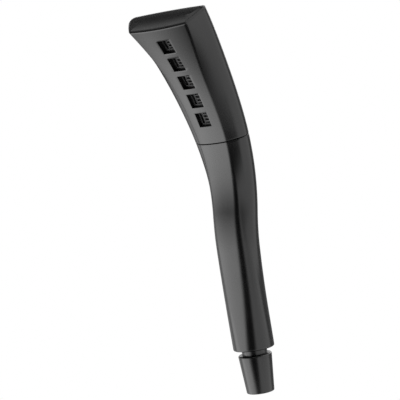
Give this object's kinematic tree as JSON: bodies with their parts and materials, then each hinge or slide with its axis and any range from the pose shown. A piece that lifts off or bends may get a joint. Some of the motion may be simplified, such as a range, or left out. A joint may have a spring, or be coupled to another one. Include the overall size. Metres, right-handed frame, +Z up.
{
  "type": "handheld shower head",
  "caption": "Curved handheld shower head: a flared head with a row of square spray windows, a rounded grip and a conical hose end that swivels.",
  "frame": {"origin": "middle of the conical hose end's lower rim", "axes": "+Z up the straight tail towards the head, -Y the way the head sprays, symmetric about X = 0"},
  "size_m": [0.0686, 0.0654, 0.2746],
  "materials": {
    "satin_black": "satin black coating on plastic",
    "fitting_black": "moulded black nylon",
    "insert_black": "matt moulded soft plastic",
    "inner_black": "moulded black plastic",
    "inner_grey": "moulded grey plastic",
    "valve_white": "smooth acetal",
    "seal_rubber": "moulded rubber",
    "spring_steel": "drawn stainless wire and sheet"
  },
  "bodies": {
    "handset": {"handle_shell": "satin_black", "head_shell": "satin_black", "insert_seal_1": "seal_rubber", "insert_seal_2": "seal_rubber", "insert_seal_3": "seal_rubber", "insert_seal_4": "seal_rubber", "insert_seal_5": "seal_rubber", "joint_collar": "inner_black", "lower_seat_seal": "seal_rubber", "lower_spring": "spring_steel", "lower_valve_housing": "valve_white", "manifold_body": "inner_grey", "manifold_cover": "inner_grey", "nipple_oring": "seal_rubber", "spray_insert_1": "insert_black", "spray_insert_2": "insert_black", "spray_insert_3": "insert_black", "spray_insert_4": "insert_black", "spray_insert_5": "insert_black", "swivel_oring": "seal_rubber", "tail_fitting": "fitting_black", "tail_oring": "seal_rubber", "tube_oring": "seal_rubber", "tube_socket": "fitting_black", "upper_seat_seal": "seal_rubber", "upper_spring": "spring_steel", "upper_valve_housing": "valve_white", "waterway_tube": "inner_grey"},
    "hose_end": {"connector_cone": "satin_black", "swivel_ring": "spring_steel", "hose_washer": "seal_rubber", "inlet_screen": "spring_steel", "flow_regulator": "valve_white"},
    "lower_valve": {"lower_poppet": "valve_white"},
    "upper_valve": {"upper_poppet": "valve_white"}
  },
  "joints": [
    {"name": "connector_swivel", "type": "hinge", "parent": "handset", "child": "hose_end", "pos_m": [0, 0, 0], "axis": [0, 0, 1], "continuous": true},
    {"name": "lower_poppet_lift", "type": "slide", "parent": "handset", "child": "lower_valve", "axis": [0, 0, 1], "range_m": [0, 0.003], "stiffness_N_per_m": 60, "springref_m": -0.002, "deforming": ["lower_spring"]},
    {"name": "upper_poppet_lift", "type": "slide", "parent": "handset", "child": "upper_valve", "axis": [0, 0, 1], "range_m": [0, 0.003], "stiffness_N_per_m": 60, "springref_m": -0.002, "deforming": ["upper_spring"]}
  ]
}
